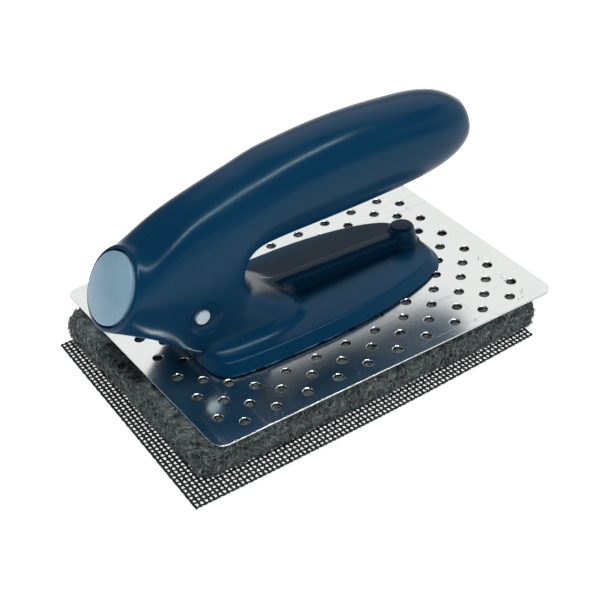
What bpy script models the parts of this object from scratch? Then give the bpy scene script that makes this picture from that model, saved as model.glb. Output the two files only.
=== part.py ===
"""Griddle cleaning pad holder: a moulded grip on a toothed steel plate, over a pad and a mesh screen.

Metres, +Z up. The work surface is z = 0 and +X runs from the nose to the free end of the grip.
Shapes are drawn in millimetres in the tool's own frame, whose origin is on the plate's top face,
on the grip's centre line. The empty named tool_frame puts that frame in the world.
"""
import math

import bmesh
import bpy
from mathutils import Matrix, Vector

MM = 0.001
GAP = 0.3                             # clearance between touching pieces, mm

# Flat pieces: size along X and Y, and centre in the tool's frame, mm
PLATE_SIZE, PLATE_CENTRE = (134.8, 104.8), (0.0, 1.1)
PAD_SIZE, PAD_CENTRE = (133.7, 98.0), (-6.2, -1.6)
SCREEN_SIZE, SCREEN_CENTRE = (135.6, 101.4), (-10.3, -5.2)
SCREEN_SKEW = (0.036, 0.026)          # the cut mesh is slightly out of square: X per Y, Y per X
PLATE_CORNER, PAD_CORNER, SCREEN_CORNER = 4.5, 5.5, 1.0

# Heights, mm
SCREEN_THICK = 1.0
PAD_THICK = 9.3
PLATE_THICK = 1.0
TOOTH_LENGTH = 1.6
PAD_BOTTOM = SCREEN_THICK + GAP
PLATE_TOP = PAD_BOTTOM + PAD_THICK + GAP + TOOTH_LENGTH + PLATE_THICK

# Teeth punched down through the plate on a staggered grid
TOOTH_COLUMNS, TOOTH_ROWS = 21, 15
TOOTH_PITCH = (5.9, 6.44)
TOOTH_GRID_CENTRE = (-0.6, 0.0)
DIMPLE_RADIUS, DIMPLE_DEPTH = 1.5, 0.7
TOOTH_RADIUS = 1.3

# Socket in the nose, closed by a plug: its axis leans up and forward
SOCKET_MOUTH = (-72.0, 33.8)          # X and Z of the mouth's centre
SOCKET_TILT = math.radians(32.0)
SOCKET_RADIUS, SOCKET_DEPTH = 12.4, 36.0
MOUTH_RADIUS = 14.1
CAP_RADIUS, CAP_PROUD, CAP_CROWN = 11.9, 0.9, 1.3
PLUG_BORE, PLUG_LENGTH = 9.0, 33.0

# Cross pin through the nose and the plug, in a countersunk recess on each side
PIN_CENTRE = (-47.7, 18.6)            # X and Z
PIN_RADIUS, PIN_HALF_LENGTH = 2.6, 12.9
RECESS_RADIUS, RECESS_FLOOR = 6.2, 12.7    # the dish leaves a thin wall over the socket

# Grip: stations from the mouth to the free end. Crown point (X, Z), underside point (X, Z),
# half width, and squareness of the section (2 is an ellipse)
NOSE = [
    ((-59.5, 45.9), (-74.4, 19.2), 14.1, 2.25),
    ((-53.0, 49.1), (-68.0, 15.2), 14.2, 2.7),
    ((-45.5, 52.3), (-60.5, 10.4), 14.3, 2.9),
]
NECK = [
    ((-37.5, 54.6), (-53.5, 3.6), 14.4, (-2.5, -3.0)),
    ((-28.5, 56.8), (-43.0, 2.0), 14.4, (1.2, 3.0)),
]
GRIP = [
    ((-11.5, 60.5), (-18.5, 31.8), 14.3, 2.6),
    ((-2.0, 61.3), (-3.0, 31.5), 14.3, 2.6),
    ((11.0, 62.4), (11.0, 31.2), 14.3, 2.6),
    ((26.0, 62.2), (26.0, 31.4), 14.3, 2.6),
    ((40.5, 60.8), (41.0, 31.8), 14.1, 2.6),
    ((51.5, 59.6), (52.8, 33.2), 13.5, 2.5),
    ((60.0, 57.3), (61.3, 36.2), 11.8, 2.3),
    ((66.2, 52.6), (66.6, 41.0), 8.2, 2.1),
]
SLOT_TOP, SLOT_FLOOR = (-29.5, 33.8), (-29.6, 20.4)   # front wall of the finger gap, X and Z
TONGUE = [(-19.5, 13.4, 12.8, 17.0), (-8.0, 7.0, 10.0, 13.0)]   # X, floor Z, half widths

# Base: a boat-shaped foot with sloping flanks, a rib and a screw boss. Its half plan runs from
# the front centre round to the rear centre
BASE_PLAN = [
    (-50.8, 0.0), (-50.8, 9.0), (-50.5, 15.5), (-49.7, 19.8), (-47.9, 22.9), (-44.8, 24.9),
    (-40.0, 26.0), (-33.0, 26.7), (-24.0, 27.1), (-13.0, 27.25), (-3.0, 27.1), (8.0, 26.5),
    (18.0, 25.2), (27.0, 23.4), (35.0, 21.0), (41.0, 18.3), (44.8, 15.6), (47.2, 12.2),
    (48.3, 7.8), (48.6, 3.4), (48.6, 0.0),
]
BASE_TOP, FLANK_START, FLANK_INSET = 4.3, 1.0, 2.6
RIB_START, RIB_END, RIB_HALF_WIDTH = -18.0, 37.0, 2.7
RIB_TOP_FRONT, RIB_TOP_REAR = 11.4, 8.7
BOSS_X, BOSS_RADIUS, BOSS_TOP = 40.4, 5.4, 11.2

# Screws from under the plate: X and Y of each, and how far each reaches above the plate
REAR_SCREW = (BOSS_X, 0.0, 9.0)
FRONT_SCREWS = [(-38.0, 20.5, 3.2), (-38.0, -20.5, 3.2)]
SCREW_RADIUS, SCREW_HEAD_RADIUS, SCREW_HEAD_THICK = 1.75, 3.2, 1.2

# The tool's frame in the world: the whole object's box is centred on the origin
TOOL_ORIGIN = (6.25, 2.07, PLATE_TOP)


def clear_scene():
    for old in list(bpy.data.objects):
        bpy.data.objects.remove(old, do_unlink=True)


def material(name, colour, roughness, metallic=0.0):
    made = bpy.data.materials.new(name)
    made.use_nodes = True
    shader = made.node_tree.nodes["Principled BSDF"]
    shader.inputs["Base Color"].default_value = (*colour, 1.0)
    shader.inputs["Roughness"].default_value = roughness
    shader.inputs["Metallic"].default_value = metallic
    return made


def add_object(name, shape, parent, look, smooth_angle=35.0):
    """Turn a bmesh drawn in millimetres into a named object, and free the bmesh."""
    bmesh.ops.recalc_face_normals(shape, faces=shape.faces)
    bmesh.ops.scale(shape, vec=(MM, MM, MM), verts=shape.verts)
    mesh = bpy.data.meshes.new(name)
    shape.to_mesh(mesh)
    shape.free()
    mesh.shade_smooth()
    mesh.set_sharp_from_angle(angle=math.radians(smooth_angle))
    mesh.materials.append(look)
    made = bpy.data.objects.new(name, mesh)
    made.parent = parent
    bpy.context.collection.objects.link(made)
    return made


def cutter(name, shape, parent, look):
    made = add_object(name, shape, parent, look)
    made.hide_render = True
    made.display_type = "WIRE"
    return made


def combine(target, other, operation):
    change = target.modifiers.new(other.name, "BOOLEAN")
    change.operation = operation
    change.object = other
    change.solver = "EXACT"


def loft(rings, close_start=True, close_end=True):
    """Skin a list of rings, each a closed loop of the same number of points."""
    shape = bmesh.new()
    made = [[shape.verts.new(point) for point in ring] for ring in rings]
    count = len(made[0])
    for a, b in zip(made, made[1:]):
        for k in range(count):
            shape.faces.new((a[k], a[(k + 1) % count], b[(k + 1) % count], b[k]))
    if close_start:
        shape.faces.new(list(reversed(made[0])))
    if close_end:
        shape.faces.new(made[-1])
    return shape


def turned(profile, sides, transform=None):
    """A solid of revolution about Z from (radius, height) points; a radius of 0 closes an end."""
    shape = bmesh.new()
    rings = []
    for radius, height in profile:
        if radius == 0.0:
            rings.append([shape.verts.new((0.0, 0.0, height))])
            continue
        angles = [math.tau * k / sides for k in range(sides)]
        rings.append([
            shape.verts.new((radius * math.cos(a), radius * math.sin(a), height)) for a in angles
        ])
    for a, b in zip(rings, rings[1:]):
        for k in range(sides):
            n = (k + 1) % sides
            if len(a) == 1:
                shape.faces.new((a[0], b[k], b[n]))
            elif len(b) == 1:
                shape.faces.new((a[k], a[n], b[0]))
            else:
                shape.faces.new((a[k], a[n], b[n], b[k]))
    if transform is not None:
        bmesh.ops.transform(shape, matrix=transform, verts=shape.verts)
    return shape


def rounded_rectangle(size, corner, steps, centre, inset=0.0):
    """Points of a rectangle with round corners, counter-clockwise, drawn in from its edge."""
    half_x, half_y = size[0] / 2 - corner, size[1] / 2 - corner
    radius = corner - inset
    points = []
    for quarter, (sx, sy) in enumerate(((1, 1), (-1, 1), (-1, -1), (1, -1))):
        for k in range(steps + 1):
            angle = math.radians(90.0 * (quarter + k / steps))
            points.append((centre[0] + sx * half_x + radius * math.cos(angle),
                           centre[1] + sy * half_y + radius * math.sin(angle)))
    return points


def slab(size, corner, steps, centre, levels):
    """A flat piece with round corners; levels are (height, inset) pairs from bottom to top."""
    return loft([
        [(x, y, z) for x, y in rounded_rectangle(size, corner, steps, centre, inset)]
        for z, inset in levels
    ])


# ---------------------------------------------------------------- plate, pad and screen

def tooth_places():
    """Centres of the teeth: every second row is shifted by one pitch."""
    places = []
    for row in range(TOOTH_ROWS):
        first = (row + 1) % 2
        for column in range(first, TOOTH_COLUMNS, 2):
            places.append((
                TOOTH_GRID_CENTRE[0] + (column - (TOOTH_COLUMNS - 1) / 2) * TOOTH_PITCH[0],
                TOOTH_GRID_CENTRE[1] + (row - (TOOTH_ROWS - 1) / 2) * TOOTH_PITCH[1],
            ))
    return places


def punched_teeth(places, radius, mouth, tip, sides=4):
    """One pyramid at each place, as separate solids in one mesh."""
    shape = bmesh.new()
    for x, y in places:
        apex = shape.verts.new((x, y, tip))
        angles = [math.tau * k / sides for k in range(sides)]
        ring = [shape.verts.new((x + radius * math.cos(a), y + radius * math.sin(a), mouth))
                for a in angles]
        shape.faces.new(ring)
        for k in range(sides):
            shape.faces.new((ring[k], apex, ring[(k + 1) % sides]))
    return shape


def make_plate(tool, steel):
    plate = add_object("holder_plate", slab(PLATE_SIZE, PLATE_CORNER, 5, PLATE_CENTRE,
                                            [(-PLATE_THICK, 0.0), (0.0, 0.0)]), tool, steel)
    under = -PLATE_THICK
    teeth = cutter("plate_teeth", punched_teeth(tooth_places(), TOOTH_RADIUS, under + 0.2,
                                                under - TOOTH_LENGTH), tool, steel)
    dimples = cutter("plate_dimples", punched_teeth(tooth_places(), DIMPLE_RADIUS, 0.2,
                                                    -DIMPLE_DEPTH), tool, steel)
    combine(plate, teeth, "UNION")
    combine(plate, dimples, "DIFFERENCE")
    for index, (x, y, _) in enumerate([REAR_SCREW, *FRONT_SCREWS]):
        place = Matrix.Translation((x, y, 0.0))
        hole = turned([(0.0, -6.0), (SCREW_RADIUS + GAP, -6.0), (SCREW_RADIUS + GAP, 2.0),
                       (0.0, 2.0)], 12, place)
        combine(plate, cutter(f"plate_hole_{index}", hole, tool, steel), "DIFFERENCE")
    return plate


def make_pad(tool, fibre):
    bottom = PAD_BOTTOM - PLATE_TOP
    top = bottom + PAD_THICK
    levels = [(bottom, 2.0), (bottom + 0.7, 0.7), (bottom + 2.0, 0.0),
              (top - 2.0, 0.0), (top - 0.7, 0.7), (top, 2.0)]
    return add_object("abrasive_pad", slab(PAD_SIZE, PAD_CORNER, 5, PAD_CENTRE, levels),
                      tool, fibre)


def make_screen(tool, grit):
    levels = [(-PLATE_TOP, 0.0), (SCREEN_THICK - PLATE_TOP, 0.0)]
    sheet = slab(SCREEN_SIZE, SCREEN_CORNER, 2, (0.0, 0.0), levels)
    skew = Matrix.Identity(4)
    skew[0][1], skew[1][0] = SCREEN_SKEW
    centre = Matrix.Translation((*SCREEN_CENTRE, 0.0))
    bmesh.ops.transform(sheet, matrix=centre @ skew, verts=sheet.verts)
    return add_object("abrasive_screen", sheet, tool, grit)


# ---------------------------------------------------------------- grip moulding

def half_section(crown, under, half_width, squareness, count):
    """Points down one side from the crown to the underside; X leans with the section's plane."""
    middle = [(crown[k] + under[k]) / 2 for k in (0, 1)]
    up = [(crown[k] - under[k]) / 2 for k in (0, 1)]
    shrink = (4.0 + 2.0 * math.cos(math.pi / count)) / 6.0
    points = []
    for k in range(count + 1):
        angle = math.pi * k / count
        side = abs(math.sin(angle)) ** (2 / squareness) / shrink
        height = math.copysign(abs(math.cos(angle)) ** (2 / squareness), math.cos(angle)) / shrink
        points.append((middle[0] + up[0] * height, half_width * side,
                       middle[1] + up[1] * height))
    return points


def neck_section(crown, under, half_width, foot):
    """A tall section: a round crown, flat sides, and a foot that flares onto the base."""
    x0, z0 = crown
    x1, z1 = under

    def at(z, y):
        return (x1 + (x0 - x1) * (z - z1) / (z0 - z1), y, z)

    w = half_width
    return [at(z0 + 0.6, 0.0), at(z0 - 1.0, 0.62 * w), at(z0 - 8.0, 0.99 * w),
            at(z0 - 18.0, 1.01 * w), at(28.0, 1.01 * w), at(14.0, w),
            at(6.2, w + foot[0]), at(z1 + 0.8, w + foot[1]), at(z1 - 0.4, 0.0)]


def whole_ring(half):
    """Close a half section into a ring: crown, -Y side, underside, +Y side."""
    near = [(x, -y, z) for x, y, z in half]
    far = [(x, y, z) for x, y, z in reversed(half[1:-1])]
    return near + far


def grip_cage():
    """Control cage of the nose, neck and grip, which subdivision rounds off."""
    shape = bmesh.new()

    def add_ring(points):
        return [shape.verts.new(point) for point in points]

    def skin(a, b):
        count = len(a)
        for k in range(count):
            shape.faces.new((a[k], a[(k + 1) % count], b[(k + 1) % count], b[k]))

    lean = Vector((math.sin(SOCKET_TILT), 0.0, math.cos(SOCKET_TILT)))
    centre = Vector((SOCKET_MOUTH[0], 0.0, SOCKET_MOUTH[1]))
    inward = Vector((math.cos(SOCKET_TILT), 0.0, -math.sin(SOCKET_TILT)))

    def mouth_ring(radius, depth):
        middle = centre + inward * depth
        top, bottom = middle + lean * radius, middle - lean * radius
        return whole_ring(half_section((top.x, top.z), (bottom.x, bottom.z), radius, 2.0, 8))

    rings = [add_ring(mouth_ring(MOUTH_RADIUS - 2.2, 0.0)),
             add_ring(mouth_ring(MOUTH_RADIUS - 0.2, 0.0)),
             add_ring(mouth_ring(MOUTH_RADIUS, 1.6))]
    rings += [add_ring(whole_ring(half_section(*station, 8))) for station in NOSE]
    rings += [add_ring(whole_ring(neck_section(*station))) for station in NECK]

    # The neck's last section follows the round front wall of the finger gap
    w = NECK[-1][2]
    (top_x, top_z), (floor_x, floor_z) = SLOT_TOP, SLOT_FLOOR
    slot = [(-20.0, 0.0, 59.1), (-20.5, 0.62 * w, 57.5), (-22.5, 0.99 * w, 50.5),
            (-25.5, 1.01 * w, 41.0), (top_x, 0.98 * w, top_z),
            (floor_x, 0.98 * w, floor_z), (-28.0, w + 1.8, 5.8), (-28.0, w + 4.0, 2.8),
            (-28.0, 0.0, 1.6)]
    last = add_ring(whole_ring(slot))
    rings.append(last)
    for a, b in zip(rings, rings[1:]):
        skin(a, b)

    # Front wall of the gap, two faces high and two wide
    wall_top = shape.verts.new((top_x, 0.0, top_z))
    wall_floor = shape.verts.new((floor_x, 0.0, floor_z))
    shape.faces.new((last[4], wall_top, wall_floor, last[5]))
    shape.faces.new((wall_top, last[12], last[11], wall_floor))

    # Tongue that carries the gap's floor down onto the base, in two steps
    lower = [last[5], last[6], last[7], last[8], last[9], last[10], last[11], wall_floor]
    for x, floor, side, foot in TONGUE:
        near = [(x, -side, floor), (x - 1.0, -foot, 3.6), (x - 1.0, -foot, 2.2)]
        far = [(px, -py, pz) for px, py, pz in reversed(near)]
        ring = add_ring([*near, (x - 1.0, 0.0, 1.6), *far, (x, 0.0, floor)])
        skin(lower, ring)
        lower = ring
    shape.faces.new((lower[0], lower[1], lower[2], lower[3], lower[7]))
    shape.faces.new((lower[7], lower[3], lower[4], lower[5], lower[6]))

    # Grip arm: ten points round, the first ring shared with the neck
    arm = [last[0], last[1], last[2], last[3], last[4], wall_top, last[12], last[13], last[14],
           last[15]]
    for station in GRIP:
        ring = add_ring(whole_ring(half_section(*station, 5)))
        skin(arm, ring)
        arm = ring
    shape.faces.new((arm[0], arm[1], arm[9]))
    shape.faces.new((arm[1], arm[2], arm[8], arm[9]))
    shape.faces.new((arm[2], arm[3], arm[7], arm[8]))
    shape.faces.new((arm[3], arm[4], arm[6], arm[7]))
    shape.faces.new((arm[4], arm[5], arm[6]))

    # Flat end of the nose
    mouth = rings[0]
    shape.faces.new(list(reversed(mouth)))
    return shape


def base_outline(inset):
    """Half plan of the base, each point drawn in square to the line between its neighbours."""
    drawn = []
    for k, (x, y) in enumerate(BASE_PLAN):
        before = BASE_PLAN[k - 1] if k else (x, -BASE_PLAN[1][1])
        after = BASE_PLAN[k + 1] if k + 1 < len(BASE_PLAN) else (x, -BASE_PLAN[-2][1])
        dx, dy = after[0] - before[0], after[1] - before[1]
        length = math.hypot(dx, dy)
        drawn.append((x + inset * dy / length, y - inset * dx / length))
    return drawn


def base_shape():
    levels = [(GAP, 0.0), (FLANK_START, 0.0), (BASE_TOP - 0.5, FLANK_INSET - 0.2),
              (BASE_TOP, FLANK_INSET + 0.6)]
    rings = []
    for z, inset in levels:
        half = base_outline(inset)
        ring = half + [(x, -y) for x, y in reversed(half[1:-1])]
        rings.append([(x, y, z) for x, y in ring])
    return loft(rings)


def rib_shape():
    """Rib with chamfered top edges and filleted feet, whose top slopes down towards the boss."""
    w, chamfer = RIB_HALF_WIDTH, 1.25
    sections = []
    for x, top in ((RIB_START, RIB_TOP_FRONT), (RIB_END, RIB_TOP_REAR)):
        half = [(w + 1.4, 2.0), (w + 1.4, BASE_TOP + 0.1), (w + 0.4, BASE_TOP + 0.4),
                (w + 0.1, BASE_TOP + 1.2), (w, top - chamfer), (w - chamfer, top)]
        section = half + [(-y, z) for y, z in reversed(half)]
        sections.append([(x, y, z) for y, z in section])
    return loft(sections)


def boss_shape():
    """Round boss with drafted sides, a soft top edge and a filleted foot."""
    r, top = BOSS_RADIUS, BOSS_TOP
    profile = [(0.0, 2.0), (r + 1.1, 2.0), (r + 1.1, BASE_TOP - 0.2), (r + 0.25, BASE_TOP + 0.5),
               (r, BASE_TOP + 1.2), (r - 0.7, top - 1.5), (r - 1.2, top - 0.45), (r - 2.3, top),
               (0.0, top + 0.12)]
    return turned(profile, 24, Matrix.Translation((BOSS_X, 0.0, 0.0)))


def socket_frame():
    """Local +Z runs along the socket's axis, out of its mouth."""
    place = Matrix.Translation((SOCKET_MOUTH[0], 0.0, SOCKET_MOUTH[1]))
    return place @ Matrix.Rotation(-(math.pi / 2 - SOCKET_TILT), 4, "Y")


def cross_frame():
    """Local +Z runs along the cross pin, towards +Y."""
    return (Matrix.Translation((PIN_CENTRE[0], 0.0, PIN_CENTRE[1]))
            @ Matrix.Rotation(-math.pi / 2, 4, "X"))


def make_grip(tool, plastic):
    grip = add_object("grip_moulding", grip_cage(), tool, plastic, 60.0)
    rounding = grip.modifiers.new("rounding", "SUBSURF")
    rounding.levels = 2
    rounding.render_levels = 2
    for name, shape in (("base_foot", base_shape()), ("base_rib", rib_shape()),
                        ("screw_boss", boss_shape())):
        combine(grip, cutter(name, shape, tool, plastic), "UNION")
    bore = turned([(0.0, -SOCKET_DEPTH), (SOCKET_RADIUS, -SOCKET_DEPTH), (SOCKET_RADIUS, 4.0),
                   (0.0, 4.0)], 40, socket_frame())
    combine(grip, cutter("socket_bore", bore, tool, plastic), "DIFFERENCE")
    hole = PIN_RADIUS + GAP
    dish = [(hole, RECESS_FLOOR - 0.4), (hole + 0.4, RECESS_FLOOR),
            (RECESS_RADIUS - 0.6, RECESS_FLOOR + 0.5), (RECESS_RADIUS + 0.2, RECESS_FLOOR + 1.6),
            (RECESS_RADIUS + 3.0, 20.0), (0.0, 20.0)]
    across = turned([(x, -y) for x, y in reversed(dish)] + dish, 24, cross_frame())
    combine(grip, cutter("pin_recess", across, tool, plastic), "DIFFERENCE")
    for index, (x, y, reach) in enumerate([REAR_SCREW, *FRONT_SCREWS]):
        pilot = turned([(0.0, -1.0), (SCREW_RADIUS + GAP, -1.0),
                        (SCREW_RADIUS + GAP, reach + 0.1), (0.0, reach + 0.5)],
                       12, Matrix.Translation((x, y, 0.0)))
        combine(grip, cutter(f"pilot_{index}", pilot, tool, plastic), "DIFFERENCE")
    return grip


# ---------------------------------------------------------------- plug, pin and screws

def make_plug(tool, plastic):
    """Domed cap with a hollow shank, drilled across for the pin."""
    r, rim = CAP_RADIUS, CAP_PROUD
    profile = [(0.0, rim + CAP_CROWN), (r * 0.5, rim + CAP_CROWN * 0.75),
               (r * 0.85, rim + CAP_CROWN * 0.3), (r - 0.3, rim), (r, rim - 0.3),
               (r, -PLUG_LENGTH), (PLUG_BORE, -PLUG_LENGTH), (PLUG_BORE, -2.4),
               (0.0, -2.4)]
    plug = add_object("socket_plug", turned(profile, 40, socket_frame()), tool, plastic)
    hole = PIN_RADIUS + GAP
    across = turned([(0.0, -20.0), (hole, -20.0), (hole, 20.0), (0.0, 20.0)], 20, cross_frame())
    combine(plug, cutter("plug_hole", across, tool, plastic), "DIFFERENCE")
    return plug


def make_pin(tool, steel):
    r, end = PIN_RADIUS, PIN_HALF_LENGTH
    profile = [(0.0, -end - 0.5), (r * 0.6, -end - 0.3), (r, -end + 0.4), (r, end - 0.4),
               (r * 0.6, end + 0.3), (0.0, end + 0.5)]
    return add_object("cross_pin", turned(profile, 20, cross_frame()), tool, steel)


def make_screw(name, place, tool, steel):
    """Low pan-head screw driven up through the plate, with a plain round drive recess."""
    x, y, reach = place
    under = -PLATE_THICK - 0.05
    head = SCREW_HEAD_THICK
    profile = [(0.0, under - head + 0.5), (1.1, under - head + 0.5), (1.3, under - head),
               (SCREW_HEAD_RADIUS - 0.6, under - head), (SCREW_HEAD_RADIUS, under - head + 0.5),
               (SCREW_HEAD_RADIUS, under), (SCREW_RADIUS, under), (SCREW_RADIUS, reach - 0.8),
               (SCREW_RADIUS - 0.7, reach - 0.2), (0.0, reach - 0.2)]
    return add_object(name, turned(profile, 16, Matrix.Translation((x, y, 0.0))), tool, steel)


def main():
    clear_scene()
    tool = bpy.data.objects.new("tool_frame", None)
    tool.location = Vector(TOOL_ORIGIN) * MM
    bpy.context.collection.objects.link(tool)

    blue = material("grip_plastic", (0.006, 0.035, 0.085), 0.25)
    pale = material("plug_plastic", (0.17, 0.28, 0.37), 0.4)
    bright = material("plate_steel", (0.72, 0.73, 0.73), 0.15, 1.0)
    zinc = material("fastener_steel", (0.6, 0.62, 0.63), 0.35, 1.0)
    charcoal = material("pad_fibre", (0.03, 0.035, 0.035), 0.95)
    grit = material("screen_grit", (0.02, 0.025, 0.025), 0.9)

    make_grip(tool, blue)
    make_plug(tool, pale)
    make_pin(tool, zinc)
    make_plate(tool, bright)
    make_screw("rear_screw", REAR_SCREW, tool, zinc)
    for name, place in zip(("front_screw_left", "front_screw_right"), FRONT_SCREWS):
        make_screw(name, place, tool, zinc)
    make_pad(tool, charcoal)
    make_screen(tool, grit)


main()
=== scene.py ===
"""Looks of the griddle pad holder: glossy moulding, toothed steel plate, fibre pad and mesh screen.

Shapes are drawn in millimetres in the tool's own frame, whose origin is on the plate's top face, on
the grip's centre line, with +X towards the free end of the grip. TO_WORLD takes them to the frame.
"""

import math

import bmesh
import bpy
import numpy as np
from mathutils import Matrix, Vector
from mathutils.bvhtree import BVHTree


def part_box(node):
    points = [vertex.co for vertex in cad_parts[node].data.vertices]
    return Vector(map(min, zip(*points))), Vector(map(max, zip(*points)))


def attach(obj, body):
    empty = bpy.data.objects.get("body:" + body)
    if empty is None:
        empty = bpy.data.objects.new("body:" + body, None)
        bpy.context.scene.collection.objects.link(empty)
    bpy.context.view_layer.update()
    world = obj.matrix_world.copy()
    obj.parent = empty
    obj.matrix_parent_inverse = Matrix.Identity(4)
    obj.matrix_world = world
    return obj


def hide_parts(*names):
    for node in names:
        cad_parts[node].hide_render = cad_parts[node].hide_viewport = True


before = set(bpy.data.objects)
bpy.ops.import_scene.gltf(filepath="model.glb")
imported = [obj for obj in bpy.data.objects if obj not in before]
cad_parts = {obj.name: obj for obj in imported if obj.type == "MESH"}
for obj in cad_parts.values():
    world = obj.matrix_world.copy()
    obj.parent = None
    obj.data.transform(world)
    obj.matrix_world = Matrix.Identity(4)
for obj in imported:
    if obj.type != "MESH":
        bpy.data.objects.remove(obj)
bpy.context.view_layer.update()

MM = 0.001
PLATE_LOW, PLATE_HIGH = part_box("holder_plate")
PAD_LOW, PAD_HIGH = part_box("abrasive_pad")
SCREEN_LOW, SCREEN_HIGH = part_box("abrasive_screen")
PLATE_OFFSET = Vector((0.0, 1.1, 0.0)) * MM          # the plate's centre from the grip's centre line
TOOL_ORIGIN = Vector(((PLATE_LOW.x + PLATE_HIGH.x) / 2, (PLATE_LOW.y + PLATE_HIGH.y) / 2,
                      PLATE_HIGH.z)) - PLATE_OFFSET
TO_WORLD = Matrix.Translation(TOOL_ORIGIN) @ Matrix.Scale(MM, 4)


def in_tool(corner):
    """A corner of a CAD box as millimetres in the tool's frame."""
    return (corner - TOOL_ORIGIN) / MM


# ---------------------------------------------------------------- camera, light and floor

CAMERA_FROM_TOOL = Vector((-0.2229, -0.3678, 0.3081))                   # metres
CAMERA_AZIMUTH, CAMERA_ELEVATION, CAMERA_ROLL = -30.84, 35.9, -4.5      # degrees
CAMERA_LENS = 91.5


def look_from(azimuth, elevation, roll=0.0):
    """Rotation that looks along +Y at azimuth 0, and down by elevation."""
    a, e = math.radians(azimuth), math.radians(elevation)
    return (Matrix.Rotation(a, 3, "Z") @ Matrix.Rotation(math.pi / 2 - e, 3, "X")
            @ Matrix.Rotation(math.radians(roll), 3, "Z"))


def make_camera():
    data = bpy.data.cameras.new("camera")
    data.lens = CAMERA_LENS
    data.dof.use_dof = False
    camera = bpy.data.objects.new("camera", data)
    camera.location = TOOL_ORIGIN + CAMERA_FROM_TOOL
    camera.rotation_euler = look_from(CAMERA_AZIMUTH, CAMERA_ELEVATION, CAMERA_ROLL).to_euler()
    bpy.context.scene.collection.objects.link(camera)
    bpy.context.scene.camera = camera


def area_light(name, azimuth, elevation, distance, size, radiance):
    """A rectangular soft light that faces the middle of the tool."""
    data = bpy.data.lights.new(name, "AREA")
    data.shape = "RECTANGLE"
    data.size, data.size_y = size
    data.energy = radiance * math.pi * size[0] * size[1]
    light = bpy.data.objects.new(name, data)
    turn = look_from(azimuth, elevation)
    aim = TOOL_ORIGIN + Vector((0.0, 0.0, LIGHT_AIM_HEIGHT))
    light.location = aim + turn @ Vector((0.0, 0.0, distance))
    light.rotation_euler = turn.to_euler()
    bpy.context.scene.collection.objects.link(light)


# Soft lights: name, azimuth and elevation in degrees, distance and size in metres, radiance
LIGHTS = [
    ("back_box", 139.0, 37.0, 1.3, (1.35, 0.85), 0.9),
    ("back_low", 139.0, 7.0, 1.5, (2.2, 0.34), 0.45),
    ("left_box", -125.0, 16.0, 1.3, (1.1, 0.9), 0.6),
    ("top_strip", 14.0, 80.0, 1.0, (0.9, 0.085), 36.0),
    ("right_fill", 76.0, 18.0, 1.4, (1.6, 1.0), 0.8),
    ("front_fill", -18.0, 11.0, 1.4, (1.5, 0.6), 0.95),
]
LIGHT_AIM_HEIGHT = 0.03
WORLD_COLOUR, WORLD_STRENGTH = (0.95, 0.98, 1.0, 1.0), 0.10
FLOOR_HALF_SIZE, FLOOR_DROP = 3.0, 0.0003     # the drop keeps the floor just clear of the screen
TABLE_SHADE, TABLE_GLOW = 0.86, 0.8


def make_stage():
    scene = bpy.context.scene
    scene.view_settings.view_transform = "Standard"
    world = bpy.data.worlds.new("studio")
    world.use_nodes = True
    background = world.node_tree.nodes["Background"]
    background.inputs["Color"].default_value = WORLD_COLOUR
    background.inputs["Strength"].default_value = WORLD_STRENGTH
    scene.world = world

    floor = bmesh.new()
    bmesh.ops.create_grid(floor, x_segments=8, y_segments=8, size=FLOOR_HALF_SIZE)
    mesh = bpy.data.meshes.new("floor")
    floor.to_mesh(mesh)
    floor.free()
    look, shader = new_material("light_table")
    shader.inputs["Base Color"].default_value = (TABLE_SHADE, TABLE_SHADE, TABLE_SHADE, 1.0)
    shader.inputs["Roughness"].default_value = 0.9
    shader.inputs["Specular IOR Level"].default_value = 0.0
    shader.inputs["Emission Color"].default_value = (1.0, 1.0, 1.0, 1.0)
    shader.inputs["Emission Strength"].default_value = TABLE_GLOW
    mesh.materials.append(look)
    made = bpy.data.objects.new("floor", mesh)
    made.location.z = -FLOOR_DROP
    scene.collection.objects.link(made)

    for light in LIGHTS:
        area_light(*light)


# ---------------------------------------------------------------- materials

def new_material(name):
    made = bpy.data.materials.new(name)
    made.use_nodes = True
    return made, made.node_tree.nodes["Principled BSDF"]


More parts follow.
